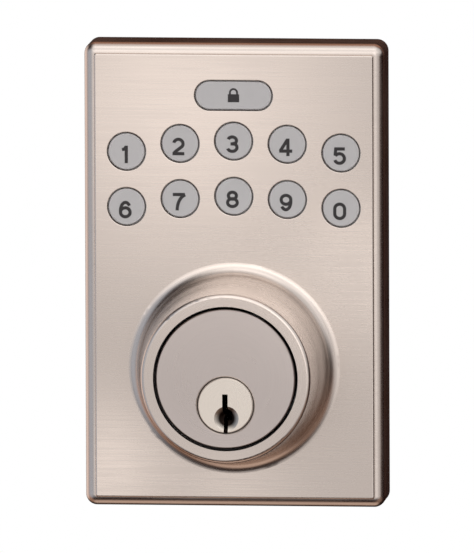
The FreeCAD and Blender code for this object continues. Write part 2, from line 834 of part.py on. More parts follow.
def make_gasket():
    """Foam seal between the lock and the door, open over the cross bore and round the screw heads."""
    body = new_body("gasket")
    outline = new_sketch(body, "XZ", "0")
    case_box(outline, "side_wall + 2 * plate_gap", "plate_corner")
    add_circle(outline, "0", "0", "bore_opening_radius")
    pad(body, outline, "plate_back")
    notches = new_sketch(body, "XZ", "0")
    for across, up in CORNER_SCREWS:
        add_circle(notches, across, up, "corner_post_radius + post_gap")
    cut(body, notches, "plate_back", forwards=True)


# ---------------------------------------------------------------- key cylinder


def make_cylinder_body():
    """Cast housing: front disc, barrel for the plug, tower for the pin stacks, and two legs to the plate."""
    body = new_body("cylinder_body")
    disc = new_sketch(body, "XZ", "cylinder_disc_back")
    add_circle(disc, "0", "boss_rise", "cylinder_disc_radius")
    pad(body, disc, "boss_front - cylinder_disc_back")
    barrel = new_sketch(body, "XZ", "cylinder_back")
    add_circle(barrel, "0", "0", "barrel_radius")
    pad(body, barrel, "cylinder_disc_back - cylinder_back + join_overlap")
    tower = new_sketch(body, "XZ", "cylinder_back")
    add_box(tower, "0 - tower_half_width", "tower_half_width", "0", "tower_top")
    pad(body, tower, "cylinder_disc_back - cylinder_back + join_overlap")
    legs = new_sketch(body, "XZ", "plate_front")
    for across, up in LEG_SCREWS:
        add_circle(legs, across, up, "leg_radius")
    pad(body, legs, "cylinder_disc_back - plate_front + join_overlap")

    bore = new_sketch(body, "XZ", "cylinder_back")
    add_circle(bore, "0", "0", "plug_bore_radius")
    cut(body, bore, "boss_front - cylinder_back", forwards=True)
    seat = new_sketch(body, "XZ", "plug_seat")
    add_circle(seat, "0", "0", "plug_seat_radius")
    cut(body, seat, "boss_front - plug_seat", forwards=True)
    chambers = new_sketch(body, "XY", "tower_top")
    for standoff in PIN_STANDOFFS:
        add_circle(chambers, "0", f"0 - ( {standoff} )", "pin_bore_radius")
    cut(body, chambers, "tower_top - plug_bore_radius + cut_margin")
    pilots = new_sketch(body, "XZ", "plate_front")
    for across, up in LEG_SCREWS:
        add_circle(pilots, across, up, "screw_pilot_radius")
    cut(body, pilots, "leg_screw_depth", forwards=True)
    rims = edges_at(body, "boss_front", "cylinder_disc_radius")
    rims += edges_at(body, "boss_front", "plug_seat_radius")
    soften(body, rims, "cylinder_chamfer", "Chamfer")


def make_plug():
    """Turning plug: face flange, pin chambers over the keyway, clip neck and tail."""
    body = new_body("plug")
    for back, front, radius in (
        ("plug_back", "plug_neck_back", "plug_radius"),
        ("plug_neck_back", "cylinder_back", "plug_neck_radius"),
        ("cylinder_back", "plug_face_back", "plug_radius"),
        ("plug_face_back", "boss_front", "plug_face_radius"),
    ):
        length = new_sketch(body, "XZ", back)
        add_circle(length, "0", "0", radius)
        pad(body, length, f"{front} - {back}")
    soften(body, edges_at(body, "boss_front"), "plug_chamfer", "Chamfer")

    recess = new_sketch(body, "YZ", "keyway_recess_across", "keyway_recess_drop")
    add_polygon(
        recess,
        [
            ("0 - boss_front - cut_margin", "0"),
            ("0 - boss_front - cut_margin", "keyway_recess_radius"),
            ("keyway_recess_rim - boss_front", "keyway_recess_radius"),
            ("keyway_recess_depth - boss_front", "keyway_recess_floor"),
            ("keyway_recess_depth - boss_front", "0"),
        ],
    )
    turn(body, recess, remove=True)
    keyway = new_sketch(body, "XZ", "boss_front")
    add_polygon(keyway, KEYWAY_OUTLINE)
    cut(body, keyway, "keyway_depth")
    chambers = new_sketch(body, "XY", "plug_radius + cut_margin")
    for standoff in PIN_STANDOFFS:
        add_circle(chambers, "0", f"0 - ( {standoff} )", "pin_bore_radius")
    cut(body, chambers, "plug_radius + cut_margin - pin_chamber_floor")
    screw_holes = new_sketch(body, "XZ", "plug_back")
    for across, up in TAIL_SCREWS:
        add_circle(screw_holes, across, up, "tail_screw_radius + tail_screw_fit")
    cut(body, screw_holes, "tail_hole_depth", forwards=True)


def upright(kind, label, standoff, bottom):
    """A Part primitive on the pins' middle plane, standing up from a height."""
    primitive = doc.addObject(f"Part::{kind}", label)
    primitive.setExpression("Placement.Base.y", dim(f"0 - ( {standoff} )"))
    primitive.setExpression("Placement.Base.z", dim(bottom))
    return primitive


def group(label, pieces):
    """Separate solids that share one node."""
    compound = doc.addObject("Part::Compound", f"{label}_group")
    compound.Links = pieces
    keep(compound, label)


def make_pin_stacks():
    """Key pins with pointed tips, driver pins over the shear line, and the springs that press on them."""
    key_pins, drivers = [], []
    for index, (standoff, tip) in enumerate(zip(PIN_STANDOFFS, PIN_TIP_HEIGHTS)):
        point = upright("Cone", f"pin_tip_{index}", standoff, tip)
        point.setExpression("Radius1", dim("pin_radius * pin_tip_ratio"))
        point.setExpression("Radius2", dim("pin_radius"))
        point.setExpression("Height", dim("pin_tip_length"))
        stem = upright("Cylinder", f"pin_stem_{index}", standoff, f"{tip} + pin_tip_length")
        stem.setExpression("Radius", dim("pin_radius"))
        stem.setExpression("Height", dim(f"key_pin_top - {tip} - pin_tip_length"))
        pin = doc.addObject("Part::Fuse", f"key_pin_{index}")
        pin.Base, pin.Tool = point, stem
        key_pins.append(pin)
        driver = upright("Cylinder", f"driver_pin_{index}", standoff, "driver_pin_bottom")
        driver.setExpression("Radius", dim("pin_radius"))
        driver.setExpression("Height", dim("driver_pin_length"))
        drivers.append(driver)
    doc.recompute()
    group("key_pins", key_pins)
    group("driver_pins", drivers)


def make_pin_springs():
    """Five coil springs, each from a helix swept by a round wire."""
    wire_radius = number("spring_wire / 2")
    floor = number("driver_pin_bottom + driver_pin_length + spring_clearance") + wire_radius
    height = number("tower_top - spring_clearance") - wire_radius - floor
    coils = []
    for standoff in PIN_STANDOFFS:
        path = Part.makeHelix(height / number("spring_turns"), height, number("spring_radius"))
        start = FreeCAD.Vector(number("spring_radius"), 0, 0)
        ring = Part.Wire([Part.makeCircle(wire_radius, start, FreeCAD.Vector(0, 1, 0))])
        coil = Part.Wire(path).makePipeShell([ring], True, True)
        coil.translate(FreeCAD.Vector(0, -number(standoff), floor))
        coils.append(coil)
    feature = doc.addObject("Part::Feature", "pin_springs_group")
    feature.Shape = Part.makeCompound(coils)
    keep(feature, "pin_springs")


def make_pin_cover():
    cover = doc.addObject("Part::Box", "pin_cover_box")
    cover.setExpression("Length", dim("2 * tower_half_width"))
    cover.setExpression("Width", dim("cylinder_disc_back - cylinder_back - 2 * cover_gap"))
    cover.setExpression("Height", dim("cover_thick"))
    cover.setExpression("Placement.Base.x", dim("0 - tower_half_width"))
    cover.setExpression("Placement.Base.y", dim("cover_gap - cylinder_disc_back"))
    cover.setExpression("Placement.Base.z", dim("tower_top"))
    keep(cover, "pin_cover")


def make_plug_clip():
    """Open ring that snaps round the plug's neck and holds it in the barrel."""
    body = new_body("plug_clip")
    ring = new_sketch(body, "XZ", "clip_back")
    add_circle(ring, "0", "0", "clip_outer_radius")
    add_circle(ring, "0", "0", "clip_inner_radius")
    pad(body, ring, "clip_front - clip_back")
    mouth = new_sketch(body, "XZ", "clip_back")
    below = "0 - clip_outer_radius - cut_margin"
    add_box(mouth, "0 - clip_mouth / 2", "clip_mouth / 2", below, "clip_mouth_top")
    cut(body, mouth, "clip_front - clip_back", forwards=True)


def make_torque_blade():
    """Half-round drive blade on a round flange: it reaches through the latch to the inside half."""
    body = new_body("torque_blade")
    flange = new_sketch(body, "XZ", "blade_flange_back")
    add_circle(flange, "0", "0", "blade_flange_radius")
    for across, up in TAIL_SCREWS:
        add_circle(flange, across, up, "tail_screw_radius + tail_screw_fit")
    pad(body, flange, "plug_back - blade_flange_back")

    blade = new_sketch(body, "XZ", "blade_end")
    radius, flat = number("blade_width / 2"), number("blade_width / 2 - blade_thick")
    dip = math.asin(-flat / radius)
    half_flat = radius * math.cos(dip)
    circle = Part.Circle(FreeCAD.Vector(0, 0, 0), FreeCAD.Vector(0, 0, 1), radius)
    back = blade.addGeometry(Part.ArcOfCircle(circle, -dip, math.pi + dip))
    ends = FreeCAD.Vector(-half_flat, flat, 0), FreeCAD.Vector(half_flat, flat, 0)
    face = blade.addGeometry(Part.LineSegment(*ends))
    blade.addConstraint(Sketcher.Constraint("Coincident", back, 2, face, 1))
    blade.addConstraint(Sketcher.Constraint("Coincident", face, 2, back, 1))
    blade.addConstraint(Sketcher.Constraint("Horizontal", face))
    blade.addConstraint(Sketcher.Constraint("Coincident", back, 3, *ORIGIN))
    hold(blade, "Radius", back, "blade_width / 2")
    hold(blade, "DistanceY", *ORIGIN, face, 1, "blade_width / 2 - blade_thick")
    pad(body, blade, "blade_flange_back - blade_end")


def make_guard_sleeve():
    """Hardened sleeve inside the boss, notched at the back for the cable."""
    body = new_body("guard_sleeve")
    tube = new_sketch(body, "XZ", "sleeve_back")
    add_circle(tube, "0", "boss_rise", "sleeve_outer_radius")
    add_circle(tube, "0", "boss_rise", "sleeve_inner_radius")
    pad(body, tube, "sleeve_front - sleeve_back")
    notch = new_sketch(body, "XZ", "sleeve_back")
    half = "sleeve_notch_half_width"
    add_box(notch, f"0 - {half}", half, "boss_rise", "boss_rise + sleeve_outer_radius + cut_margin")
    cut(body, notch, "sleeve_notch_front - sleeve_back", forwards=True)


def make_mounting_posts():
    """Two threaded posts, riveted into the back plate, that reach into the cross bore."""
    body = new_body("mounting_posts", several_solids=True)
    shanks = new_sketch(body, "XZ", "post_end")
    for across, up in POSTS:
        add_circle(shanks, across, up, "post_radius")
    pad(body, shanks, "plate_front - post_end")
    flanges = new_sketch(body, "XZ", "plate_front")
    for across, up in POSTS:
        add_circle(flanges, across, up, "post_flange_radius")
    pad(body, flanges, "post_flange_front - plate_front")
    threads = new_sketch(body, "XZ", "post_end")
    for across, up in POSTS:
        add_circle(threads, across, up, "post_thread_radius")
    cut(body, threads, "plate_front - post_end", forwards=True)


# ---------------------------------------------------------------- the assembly

make_escutcheon()
for digit, across, up in key_places():
    make_round_key(digit, across, up)
make_lock_key()
make_light_guide()
make_keypad_membrane()
make_circuit_board()
make_board_parts()
make_screws(
    "board_screws",
    BOARD_SCREWS,
    "board_back",
    "small_head_radius",
    "small_head_thick",
    "small_core_radius",
    "small_screw_length",
)
make_back_plate()
make_cable_grommet()
make_gasket()
make_screws(
    "case_screws",
    CORNER_SCREWS,
    "plate_back",
    "screw_head_radius",
    "screw_head_thick",
    "screw_core_radius",
    "screw_length",
)
make_cylinder_body()
make_plug()
make_pin_stacks()
make_pin_springs()
make_pin_cover()
make_plug_clip()
make_torque_blade()
make_guard_sleeve()
make_mounting_posts()
make_screws(
    "cylinder_screws",
    LEG_SCREWS,
    "plate_back",
    "screw_head_radius",
    "screw_head_thick",
    "screw_core_radius",
    "screw_length",
)
make_screws(
    "tail_screws",
    TAIL_SCREWS,
    "blade_flange_back",
    "tail_head_radius",
    "tail_head_thick",
    "tail_screw_radius",
    "tail_screw_length",
)

doc.recompute()
for thing in doc.Objects:
    if "Invalid" in thing.State or "Error" in thing.State:
        raise RuntimeError(f"{thing.Label} failed: {thing.State}")
for piece in SUB_PARTS:
    if piece.Shape.isNull() or not piece.Shape.isValid():
        raise RuntimeError(f"{piece.Label} has no valid shape")

os.makedirs("parts", exist_ok=True)
for piece in SUB_PARTS:
    piece.Shape.exportStep(os.path.join("parts", f"{piece.Label}.step"))
    print(piece.Label, len(piece.Shape.Solids), round(piece.Shape.Volume, 2))
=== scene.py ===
import math

import bmesh
import bpy
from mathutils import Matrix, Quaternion, Vector


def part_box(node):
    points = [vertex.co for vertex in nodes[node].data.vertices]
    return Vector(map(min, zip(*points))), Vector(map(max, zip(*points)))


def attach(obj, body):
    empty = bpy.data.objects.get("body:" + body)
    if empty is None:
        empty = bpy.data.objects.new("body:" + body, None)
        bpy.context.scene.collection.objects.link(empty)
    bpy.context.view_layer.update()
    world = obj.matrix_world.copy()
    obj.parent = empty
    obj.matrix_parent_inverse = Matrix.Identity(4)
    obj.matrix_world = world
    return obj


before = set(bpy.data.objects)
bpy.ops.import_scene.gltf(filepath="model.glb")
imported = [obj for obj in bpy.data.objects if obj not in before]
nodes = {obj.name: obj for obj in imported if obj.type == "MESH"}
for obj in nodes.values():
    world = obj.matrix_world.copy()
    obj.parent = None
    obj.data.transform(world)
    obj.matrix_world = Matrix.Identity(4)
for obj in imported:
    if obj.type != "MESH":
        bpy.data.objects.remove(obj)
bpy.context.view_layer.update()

MM = 0.001


# ---- Camera: a long lens well back, a little to the right of the lock and a little above it.
def towards(azimuth, elevation):
    """The direction at degrees right of straight out from the door, and at degrees above level."""
    turn, rise = math.radians(azimuth), math.radians(elevation)
    return Vector((math.sin(turn) * math.cos(rise), -math.cos(turn) * math.cos(rise), math.sin(rise)))


CAMERA_DIRECTION = towards(5.7, 6.85)
CAMERA_ROLL = -0.2
CAMERA_DISTANCE = 8.0
FRAME_HEIGHT = 146.1 * MM
AIM_ASIDE, AIM_BELOW = 0.7 * MM, 2.0 * MM
case_low, case_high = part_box("escutcheon")
case_middle = (case_low + case_high) / 2
aim = Vector((case_middle.x - AIM_ASIDE, 0, case_middle.z - AIM_BELOW))

lens = bpy.data.cameras.new("camera")
lens.sensor_fit = "VERTICAL"
lens.sensor_height = 24.0
lens.lens = lens.sensor_height * CAMERA_DISTANCE / FRAME_HEIGHT
lens.clip_end = 100.0
camera = bpy.data.objects.new("camera", lens)
camera.location = aim + CAMERA_DIRECTION * CAMERA_DISTANCE
upright = CAMERA_DIRECTION.to_track_quat("Z", "Y")
camera.rotation_euler = (upright @ Quaternion((0, 0, 1), math.radians(CAMERA_ROLL))).to_euler()
bpy.context.collection.objects.link(camera)
bpy.context.scene.camera = camera
bpy.context.scene.view_settings.view_transform = "Standard"


# ---- Studio: a light tent round the lock. Its panels are soft patches of light in all directions, and the
# gaps between them are the dark brown that satin metal shows at its edges. Floor and backdrop are white.
def linear(code, strength=1.0):
    """Turns an sRGB hex colour into the linear colour that nodes and lights take."""
    channels = [int(code[start : start + 2], 16) / 255 for start in (1, 3, 5)]
    plain = [c / 12.92 if c <= 0.04045 else ((c + 0.055) / 1.055) ** 2.4 for c in channels]
    return [strength * channel for channel in plain] + [1.0]


def add_node(tree, kind, inputs=None, **settings):
    """Adds a node, sets its settings, and sets or links its inputs."""
    made = tree.nodes.new(kind)
    for name, value in settings.items():
        setattr(made, name, value)
    for key, value in (inputs or {}).items():
        if isinstance(value, bpy.types.NodeSocket):
            tree.links.new(value, made.inputs[key])
        else:
            made.inputs[key].default_value = value
    return made


def new_material(name):
    """An empty material with its output node."""
    material = bpy.data.materials.new(name)
    material.use_nodes = True
    material.node_tree.nodes.clear()
    return material, material.node_tree, add_node(material.node_tree, "ShaderNodeOutputMaterial")


def object_place(tree):
    """The place on an object, in metres from its origin."""
    return add_node(tree, "ShaderNodeTexCoord").outputs["Object"]


def vector_math(tree, operation, *values):
    """One step of vector arithmetic. A length or a dot product gives a number, the others a vector."""
    made = add_node(tree, "ShaderNodeVectorMath", dict(enumerate(values)), operation=operation)
    return made.outputs["Value" if operation in ("LENGTH", "DOT_PRODUCT") else "Vector"]


def graded(tree, value, low, high, start=0.0, end=1.0, smooth=False):
    """A number that goes from start to end while a value goes from low to high, and stays there beyond."""
    limits = {"Value": value, "From Min": low, "From Max": high, "To Min": start, "To Max": end}
    ease = "SMOOTHSTEP" if smooth else "LINEAR"
    return add_node(tree, "ShaderNodeMapRange", limits, interpolation_type=ease).outputs["Result"]


def blended(tree, factor, first, second, **settings):
    """A colour between two others, or their sum when the settings ask for that."""
    colours = {0: factor, 6: first, 7: second}
    return add_node(tree, "ShaderNodeMix", colours, data_type="RGBA", **settings).outputs[2]


def hide_from(thing, *rays):
    """Hides a stage object from kinds of rays."""
    for ray in rays:
        setattr(thing, f"visible_{ray}", False)


# Each panel: azimuth and elevation of its middle, radius of its even part and of its faded edge in degrees,
# colour and strength.
TENT_PANELS = {
    "front": (0, 2, 0, 33, "#FFFBF8", 0.75),
    "front_above": (0, 38, 0, 42, "#FFFEFD", 1.1),
    "overhead": (0, 76, 0, 38, "#FFFCFA", 0.9),
    "right_above": (70, 38, 0, 42, "#FFFFFF", 0.85),
    "right_front": (33, 5, 0, 38, "#FFFDFC", 0.75),
    "left_front": (-52, 0, 0, 45, "#E8F2FF", 0.65),
    "left_behind": (-118, 0, 0, 42, "#FFEDE4", 1.05),
    "left_below": (-90, -40, 0, 38, "#FFC7A4", 0.4),
    "right_below": (60, -40, 0, 38, "#FFD5BC", 0.25),
    "below": (0, -84, 0, 34, "#FFE0CC", 0.7),
    "behind_above": (170, 55, 10, 40, "#FFC0A0", 0.4),
    "behind_right": (140, 20, 10, 35, "#FFC4A8", 0.1),
}
TENT_SHADE = "#200C08"

world = bpy.data.worlds.new("light_tent")
bpy.context.scene.world = world
world.use_nodes = True
tent = world.node_tree
tent.nodes.clear()
sight = add_node(tent, "ShaderNodeTexCoord").outputs["Generated"]
glow = add_node(tent, "ShaderNodeRGB").outputs[0]
glow.default_value = linear(TENT_SHADE)
for azimuth, elevation, even, faded, colour, strength in TENT_PANELS.values():
    facing = vector_math(tent, "DOT_PRODUCT", sight, towards(azimuth, elevation))
    outer, inner = math.cos(math.radians(faded)), math.cos(math.radians(even))
    patch = graded(tent, facing, outer, inner, smooth=True)
    glow = blended(tent, patch, glow, linear(colour, strength), blend_type="ADD")
background = add_node(tent, "ShaderNodeBackground", {"Color": glow})
add_node(tent, "ShaderNodeOutputWorld", {"Surface": background.outputs[0]})

# White paper below the lock and all round it. It shows from inside only, so a camera outside the dome
# sees in.
FLOOR_DROP = 160 * MM
DOME_RADIUS = 0.8
paper, tree, output = new_material("pale_paper")
white = add_node(tree, "ShaderNodeEmission", {"Color": linear("#FFFFFF"), "Strength": 1.0})
clear = add_node(tree, "ShaderNodeBsdfTransparent")
rear = add_node(tree, "ShaderNodeNewGeometry").outputs["Backfacing"]
one_sided = add_node(tree, "ShaderNodeMixShader", {0: rear, 1: white.outputs[0], 2: clear.outputs[0]})
tree.links.new(one_sided.outputs[0], output.inputs["Surface"])


def stage_sheet(name, form, location):
    """A white sheet that only the camera sees, and from one side, so that it takes no light from the tent."""
    mesh = bpy.data.meshes.new(name)
    form.to_mesh(mesh)
    form.free()
    mesh.materials.append(paper)
    sheet = bpy.data.objects.new(name, mesh)
    sheet.location = location
    hide_from(sheet, "glossy", "diffuse", "shadow", "transmission")
    bpy.context.collection.objects.link(sheet)


form = bmesh.new()
bmesh.ops.create_circle(form, cap_ends=True, segments=64, radius=DOME_RADIUS)
stage_sheet("floor", form, (0, 0, case_low.z - FLOOR_DROP))
form = bmesh.new()
bmesh.ops.create_uvsphere(form, u_segments=48, v_segments=24, radius=DOME_RADIUS)
bmesh.ops.reverse_faces(form, faces=form.faces)
stage_sheet("backdrop", form, case_middle)

# A soft box behind the lock, no wider than the case, so that it lights the back and reaches no wall.
BACK_LIGHT_WIDTH, BACK_LIGHT_HEIGHT = 70 * MM, 110 * MM
BACK_LIGHT_DISTANCE = 160 * MM
BACK_LIGHT_WATTS = 0.045
back_light = bpy.data.lights.new("back_light", "AREA")
back_light.shape = "RECTANGLE"
back_light.size, back_light.size_y = BACK_LIGHT_WIDTH, BACK_LIGHT_HEIGHT
back_light.energy = BACK_LIGHT_WATTS
back_box = bpy.data.objects.new("back_light", back_light)
back_box.location = (0, BACK_LIGHT_DISTANCE, case_middle.z)
back_box.rotation_euler = (-math.pi / 2, 0, 0)
hide_from(back_box, "camera")
bpy.context.collection.objects.link(back_box)

# Soft spots of light close in front of the lock, seen only in its metal: they shade the panel unevenly. Each
# has the place on the panel where it shows (x and z in mm), its radius in mm, and its strength.
GLOW_DISTANCE = 85 * MM
GLOWS = {
    "glow_top": (-14, 78, 72, 0.55),
    "glow_right": (34, 33, 30, 0.6),
    "glow_left_foot": (-36, -20, 24, 0.8),
    "glow_foot": (0, -26, 22, 0.4),
}
PANEL_FRONT = -15.0 * MM
mirrored = Vector((-CAMERA_DIRECTION.x, CAMERA_DIRECTION.y, -CAMERA_DIRECTION.z))
for name, (across, up, radius, strength) in GLOWS.items():
    glow_material, tree, output = new_material(name)
    spread = vector_math(tree, "LENGTH", object_place(tree))
    fade = graded(tree, spread, radius * MM, 0.0, 0.0, strength, smooth=True)
    light = add_node(tree, "ShaderNodeEmission", {"Color": linear("#FFF8F2"), "Strength": fade})
    clear = add_node(tree, "ShaderNodeBsdfTransparent")
    both = add_node(tree, "ShaderNodeAddShader", {0: light.outputs[0], 1: clear.outputs[0]})
    tree.links.new(both.outputs[0], output.inputs["Surface"])
    glow_mesh = bpy.data.meshes.new(name)
    form = bmesh.new()
    bmesh.ops.create_circle(form, cap_ends=True, segments=48, radius=radius * MM)
    form.to_mesh(glow_mesh)
    form.free()
    glow_mesh.materials.append(glow_material)
    spot = bpy.data.objects.new(name, glow_mesh)
    spot.location = Vector((across * MM, PANEL_FRONT, up * MM)) + mirrored * GLOW_DISTANCE
    spot.rotation_euler = (math.pi / 2, 0, 0)
    hide_from(spot, "camera", "diffuse", "shadow", "transmission")
    bpy.context.collection.objects.link(spot)


def paint(material, *names):
    """Gives CAD nodes a material."""
    for name in names:
        nodes[name].data.materials.clear()
        nodes[name].data.materials.append(material)


# ---- Case: one zinc die casting, satin nickel plated. Its panel was brushed level, its side walls upright,
# and its boss was turned. The metal is pale and warm, and blurs what it mirrors.
NICKEL = "#D6CCC5"
NICKEL_ROUGHNESS = 0.27
GLOSS_SWING = 0.06
TINT_LIGHT, TINT_DARK = 1.03, 0.96
HANDLING_SIZE = 18.0
# Noise nearly always stays between these.
NOISE_LOW, NOISE_HIGH = 0.3, 0.7
# Real brushing is near 0.05 mm wide, too fine to show, so it is drawn coarser.
GRAIN_WIDTH, GRAIN_LENGTH = 0.4, 16.0
GRAIN_DEPTH = 0.0025 * MM


def every(millimetres):
    """The texture scale that repeats a pattern once in so many millimetres."""
    return 1 / (millimetres * MM)


def noise(tree, place, scale, detail):
    """A cloudy number near a half."""
    inputs = {"Vector": place, "Scale": scale, "Detail": detail}
    return add_node(tree, "ShaderNodeTexNoise", inputs).outputs["Fac"]


def bumped(tree, height, depth, strength=1.0):
    """The way that a surface faces where a height from 0 to 1 lifts it by up to a depth."""
    inputs = {"Height": height, "Strength": strength, "Distance": depth}
    return add_node(tree, "ShaderNodeBump", inputs).outputs["Normal"]


def axis_part(tree, vector, axis):
    """A vector's part along one axis."""
    return add_node(tree, "ShaderNodeSeparateXYZ", {0: vector}).outputs[axis]


def surfaced(material, tree, output, inputs):
    """Finishes a material with the standard surface shader."""
    shader = add_node(tree, "ShaderNodeBsdfPrincipled", inputs)
    tree.links.new(shader.outputs[0], output.inputs["Surface"])
    return material


def brushed(tree, place, direction):
    """Height of straight brushing that runs along a direction."""
    stretch = [every(GRAIN_LENGTH) if along else every(GRAIN_WIDTH) for along in direction]
    streak = add_node(tree, "ShaderNodeMapping", {"Vector": place, "Scale": stretch}).outputs[0]
    return noise(tree, streak, 1.0, 4.0)


def turned(tree, place, middle, radius):
    """Height of turning marks round an axis that points out of the door, true to length at a radius."""
    arm = vector_math(tree, "SUBTRACT", place, middle)
    flat = vector_math(tree, "MULTIPLY", arm, (1, 0, 1))
    spread = vector_math(tree, "LENGTH", flat)
    around = vector_math(tree, "NORMALIZE", flat)
    slow = vector_math(tree, "MULTIPLY", around, [radius / GRAIN_LENGTH] * 3)
    depth = axis_part(tree, arm, "Y")
    across = add_node(tree, "ShaderNodeMath", {0: spread, 1: depth}, operation="ADD").outputs[0]
    fine = add_node(tree, "ShaderNodeMath", {0: across, 1: every(GRAIN_WIDTH)}, operation="MULTIPLY")
    step = add_node(tree, "ShaderNodeCombineXYZ", {"Y": fine.outputs[0]}).outputs[0]
    return noise(tree, vector_math(tree, "ADD", slow, step), 1.0, 4.0)


def blurred_metal(material, tree, output, height, colour, roughness, depth=GRAIN_DEPTH, recess_shade=None):
    """Finishes a metal whose colour and gloss vary a little with its grain and with handling."""
    cloud = noise(tree, object_place(tree), every(HANDLING_SIZE), 3.0)
    mixed = add_node(tree, "ShaderNodeMath", {0: height, 1: cloud}, operation="ADD").outputs[0]
    tint = blended(tree, height, linear(colour, TINT_LIGHT), linear(colour, TINT_DARK))
    # Where a mask is given, painted shade darkens the colour there.
    if recess_shade:
        tint = blended(tree, recess_shade, tint, linear(RECESS_SHADE_COLOUR))
    dull, bright = roughness + GLOSS_SWING, roughness - GLOSS_SWING
    look = {
        "Base Color": tint,
        "Metallic": 1.0,
        "Roughness": graded(tree, mixed, 2 * NOISE_LOW, 2 * NOISE_HIGH, bright, dull),
        "Normal": bumped(tree, height, depth),
    }
    return surfaced(material, tree, output, look)


sleeve_low, sleeve_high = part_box("guard_sleeve")
boss_axis = (sleeve_low + sleeve_high) / 2
BOSS_FOOT_RADIUS = 28.6 * MM
BOSS_FADE = 1.2 * MM
BOSS_GRAIN_RADIUS = 23.5
# A face is a side wall where this much of its direction is sideways: not yet, and fully.
WALL_STARTS, WALL_FULL = 0.5, 0.9

case_metal, tree, output = new_material("satin_nickel_plated_zinc")
place = object_place(tree)
flat = vector_math(tree, "MULTIPLY", vector_math(tree, "SUBTRACT", place, boss_axis), (1, 0, 1))
spread = vector_math(tree, "LENGTH", flat)
on_panel = graded(tree, spread, BOSS_FOOT_RADIUS - BOSS_FADE, BOSS_FOOT_RADIUS, smooth=True)
normal = add_node(tree, "ShaderNodeNewGeometry").outputs["Normal"]
sideways = axis_part(tree, vector_math(tree, "ABSOLUTE", normal), "X")
on_wall = graded(tree, sideways, WALL_STARTS, WALL_FULL, smooth=True)
panel_grain, wall_grain = brushed(tree, place, (1, 0, 0)), brushed(tree, place, (0, 0, 1))
straight = add_node(tree, "ShaderNodeMix", {0: on_wall, 2: panel_grain, 3: wall_grain}).outputs[0]
rings = turned(tree, place, boss_axis, BOSS_GRAIN_RADIUS)
grain = add_node(tree, "ShaderNodeMix", {0: on_panel, 2: rings, 3: straight}).outputs[0]
paint(blurred_metal(case_metal, tree, output, grain, NICKEL, NICKEL_ROUGHNESS), "escutcheon")

# ---- Key cylinder: turned brass, nickel plated like the case. The fixed disc is a shade darker and duller
# than the case, and the plug's face is lighter and smoother, because it was faced last. Behind their faces
# both are darkened with painted shade, which stands in for the shade in their gaps and recesses.
# Colour of the painted shade behind the cylinder's faces.
RECESS_SHADE_COLOUR = "#1C1613"
# Depths behind a face in mm: no painted shade as far as the first, and full painted shade from the second.
DISC_SHADE_DEPTHS, PLUG_SHADE_DEPTHS = (0.1, 0.35), (0.05, 0.9)
DISC_GRAIN_RADIUS, PLUG_GRAIN_RADIUS = 12.0, 5.0


def painted_recess_shade(tree, place, face, shade_starts, shade_full):
    """How much painted shade darkens the metal, from none to all, behind a face."""
    return graded(tree, axis_part(tree, place, "Y"), face + shade_starts * MM, face + shade_full * MM)


disc_metal, tree, output = new_material("satin_nickel_plated_brass")
place = object_place(tree)
grain = turned(tree, place, boss_axis, DISC_GRAIN_RADIUS)
# Painted shade behind the disc's face.
recess_shade = painted_recess_shade(tree, place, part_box("cylinder_body")[0].y, *DISC_SHADE_DEPTHS)
paint(blurred_metal(disc_metal, tree, output, grain, "#CBC2BE", 0.31, 0.003 * MM, recess_shade), "cylinder_body")

plug_metal, tree, output = new_material("fine_turned_nickel")
place = object_place(tree)
grain = turned(tree, place, (0, 0, 0), PLUG_GRAIN_RADIUS)
# Painted shade behind the plug's face, in its gap, dish and keyway.
recess_shade = painted_recess_shade(tree, place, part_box("plug")[0].y, *PLUG_SHADE_DEPTHS)
paint(blurred_metal(plug_metal, tree, output, grain, "#F2EAE0", 0.25, 0.002 * MM, recess_shade), "plug")


# ---- Keys: caps moulded in one piece from translucent grey-white polycarbonate, lit from behind at night.
# The tops are finely spark-eroded, so they look matt with a soft sheen, and light sinks a little way in.
MOTTLE_SIZE = 4.0
TEXTURE_SWING = 0.05
LIGHT_SINKS = 0.8 * MM


def moulded(name, colour, roughness, grit, depth=0.006 * MM, mottle=0.94, milkiness=0.0):
    """A moulded or cast surface: even colour with faint mottling, and a fine matt texture."""
    material, tree, output = new_material(name)
    place = object_place(tree)
    texture = noise(tree, place, every(grit), 2.0)
    cloud = noise(tree, place, every(MOTTLE_SIZE), 3.0)
    look = {
        "Base Color": blended(tree, cloud, linear(colour), linear(colour, mottle)),
        "Roughness": graded(tree, texture, 0.0, 1.0, roughness - TEXTURE_SWING, roughness + TEXTURE_SWING),
        "Normal": bumped(tree, texture, depth),
        "Subsurface Weight": milkiness,
        "Subsurface Radius": (1.0, 1.0, 1.0),
        "Subsurface Scale": LIGHT_SINKS,
    }
    return surfaced(material, tree, output, look)


DIGITS = "1234567890"
# The real texture is near 0.02 mm and too fine to show, so it is drawn coarser.
key_plastic = moulded(
    "translucent_polycarbonate", "#D4D3D3", 0.38, grit=0.3, depth=0.003 * MM, milkiness=0.35
)
paint(key_plastic, "lock_key", *[f"key_{digit}" for digit in DIGITS])


# ---- Digits: dark grey ink, pad printed on the caps in a bold upright face. Each digit is a few broad
# strokes of one width, cut square at their ends and united into one thin solid.
STROKE_WIDTH = 0.85
INK_PROUD, INK_SUNK = 0.02, 0.04
DIGIT_OFFSET = (-0.38, -0.8)
ARC_STEP = 6
SAME_POINT = 0.01
LONGEST_MITRE = 2
